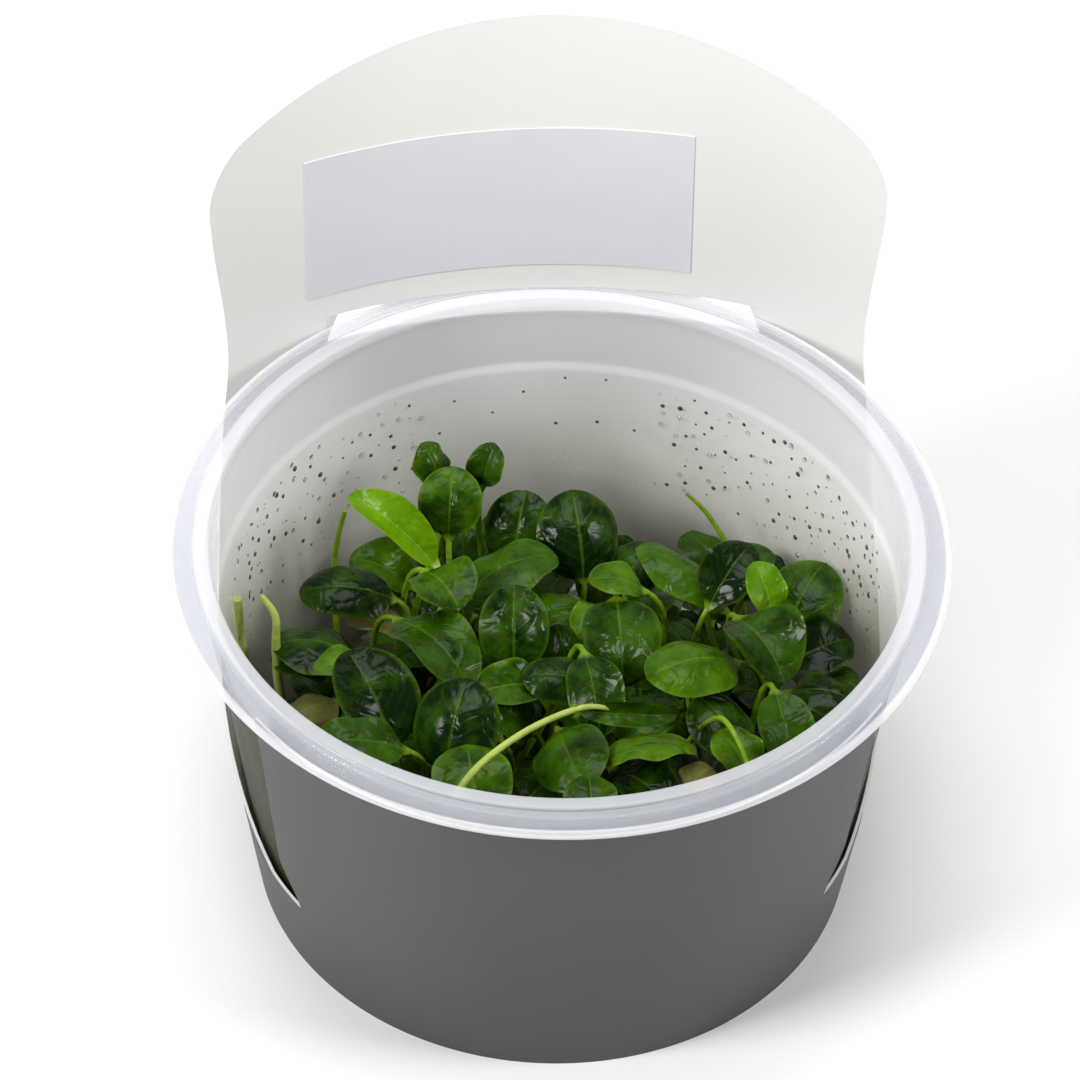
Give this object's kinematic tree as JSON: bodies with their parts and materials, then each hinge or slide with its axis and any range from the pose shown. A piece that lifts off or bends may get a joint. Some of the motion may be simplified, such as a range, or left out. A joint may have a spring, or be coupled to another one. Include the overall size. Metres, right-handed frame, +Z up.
{
  "type": "anubias plantlets in a tissue culture cup with a card sleeve",
  "caption": "Open translucent cup of small round-leaved aquarium plantlets in growing gel, standing in a die-cut card sleeve with a tall curved header.",
  "frame": {"origin": "centre of the cup's flat foot, on the surface that it stands on", "axes": "+Z up, -Y towards the sleeve's front panel, +Y towards the header"},
  "size_m": [0.1, 0.102, 0.1],
  "materials": {
    "cup_plastic": "thin frosted translucent polypropylene",
    "printed_card": "satin card, grey outside and off-white inside, bare",
    "bare_label": "satin pale lavender-grey sticker, bare",
    "growing_gel": "wet olive jelly",
    "rhizome_skin": "green-brown living stem",
    "leaf_dark": "thick glossy wet leaf",
    "leaf_mid": "thick glossy wet leaf",
    "leaf_young": "soft glossy young leaf",
    "leaf_old": "dull faded old leaf"
  },
  "bodies": {
    "root": {"cup": "cup_plastic", "card_sleeve": "printed_card", "name_label": "bare_label", "nutrient_gel": "growing_gel", "rhizome_a": "rhizome_skin", "rhizome_b": "rhizome_skin", "rhizome_c": "rhizome_skin", "rhizome_d": "rhizome_skin", "rhizome_e": "rhizome_skin", "rhizome_f": "rhizome_skin", "rhizome_g": "rhizome_skin", "rhizome_h": "rhizome_skin", "leaf_01": "leaf_dark", "leaf_02": "leaf_dark", "leaf_03": "leaf_dark", "leaf_04": "leaf_dark", "leaf_05": "leaf_dark", "leaf_06": "leaf_dark", "leaf_07": "leaf_mid", "leaf_08": "leaf_dark", "leaf_09": "leaf_mid", "leaf_10": "leaf_dark", "leaf_11": "leaf_dark", "leaf_12": "leaf_mid", "leaf_13": "leaf_mid", "leaf_14": "leaf_dark", "leaf_15": "leaf_dark", "leaf_16": "leaf_young", "leaf_17": "leaf_dark", "leaf_18": "leaf_dark", "leaf_19": "leaf_mid", "leaf_20": "leaf_dark", "leaf_21": "leaf_dark", "leaf_22": "leaf_dark", "leaf_23": "leaf_mid", "leaf_24": "leaf_dark", "leaf_25": "leaf_mid", "leaf_26": "leaf_dark", "leaf_27": "leaf_young", "leaf_28": "leaf_dark", "leaf_29": "leaf_mid", "leaf_30": "leaf_dark", "leaf_31": "leaf_dark", "leaf_32": "leaf_dark", "leaf_33": "leaf_dark", "leaf_34": "leaf_mid", "leaf_35": "leaf_mid", "leaf_36": "leaf_dark", "leaf_37": "leaf_dark", "leaf_38": "leaf_mid", "leaf_39": "leaf_old", "leaf_40": "leaf_old", "leaf_41": "leaf_old", "leaf_42": "leaf_mid", "leaf_43": "leaf_dark", "leaf_44": "leaf_dark", "leaf_45": "leaf_dark", "leaf_46": "leaf_dark", "leaf_47": "leaf_mid"}
  },
  "joints": []
}
